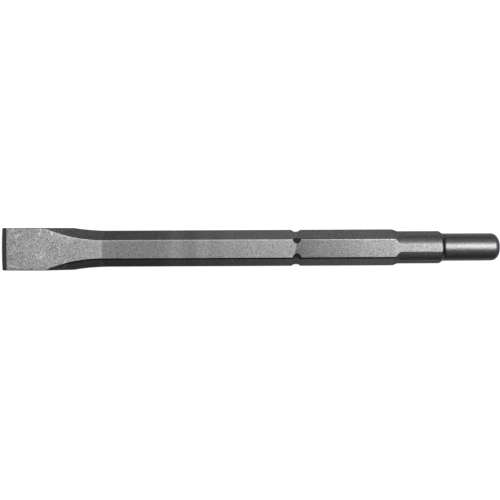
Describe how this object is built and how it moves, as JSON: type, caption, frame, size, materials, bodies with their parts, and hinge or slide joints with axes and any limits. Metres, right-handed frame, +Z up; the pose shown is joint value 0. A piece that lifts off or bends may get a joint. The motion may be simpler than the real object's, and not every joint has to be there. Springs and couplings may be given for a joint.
{
  "type": "flat chisel",
  "caption": "Forged flat chisel for a breaking hammer: fishtail blade with a ground edge, hexagonal shank with retaining pockets, turned collar and round struck end.",
  "frame": {"origin": "on the bench, under the middle of the tool's length, the tool lying on one flat of its hexagon", "axes": "+X along the tool's axis from the cutting edge to the struck end, +Y across the blade, +Z up through the blade's thickness"},
  "size_m": [0.3, 0.0258, 0.0191],
  "materials": {
    "forged_steel": "fine shot-blasted forging, dull grey"
  },
  "bodies": {
    "root": {"chisel": "forged_steel"}
  },
  "joints": []
}
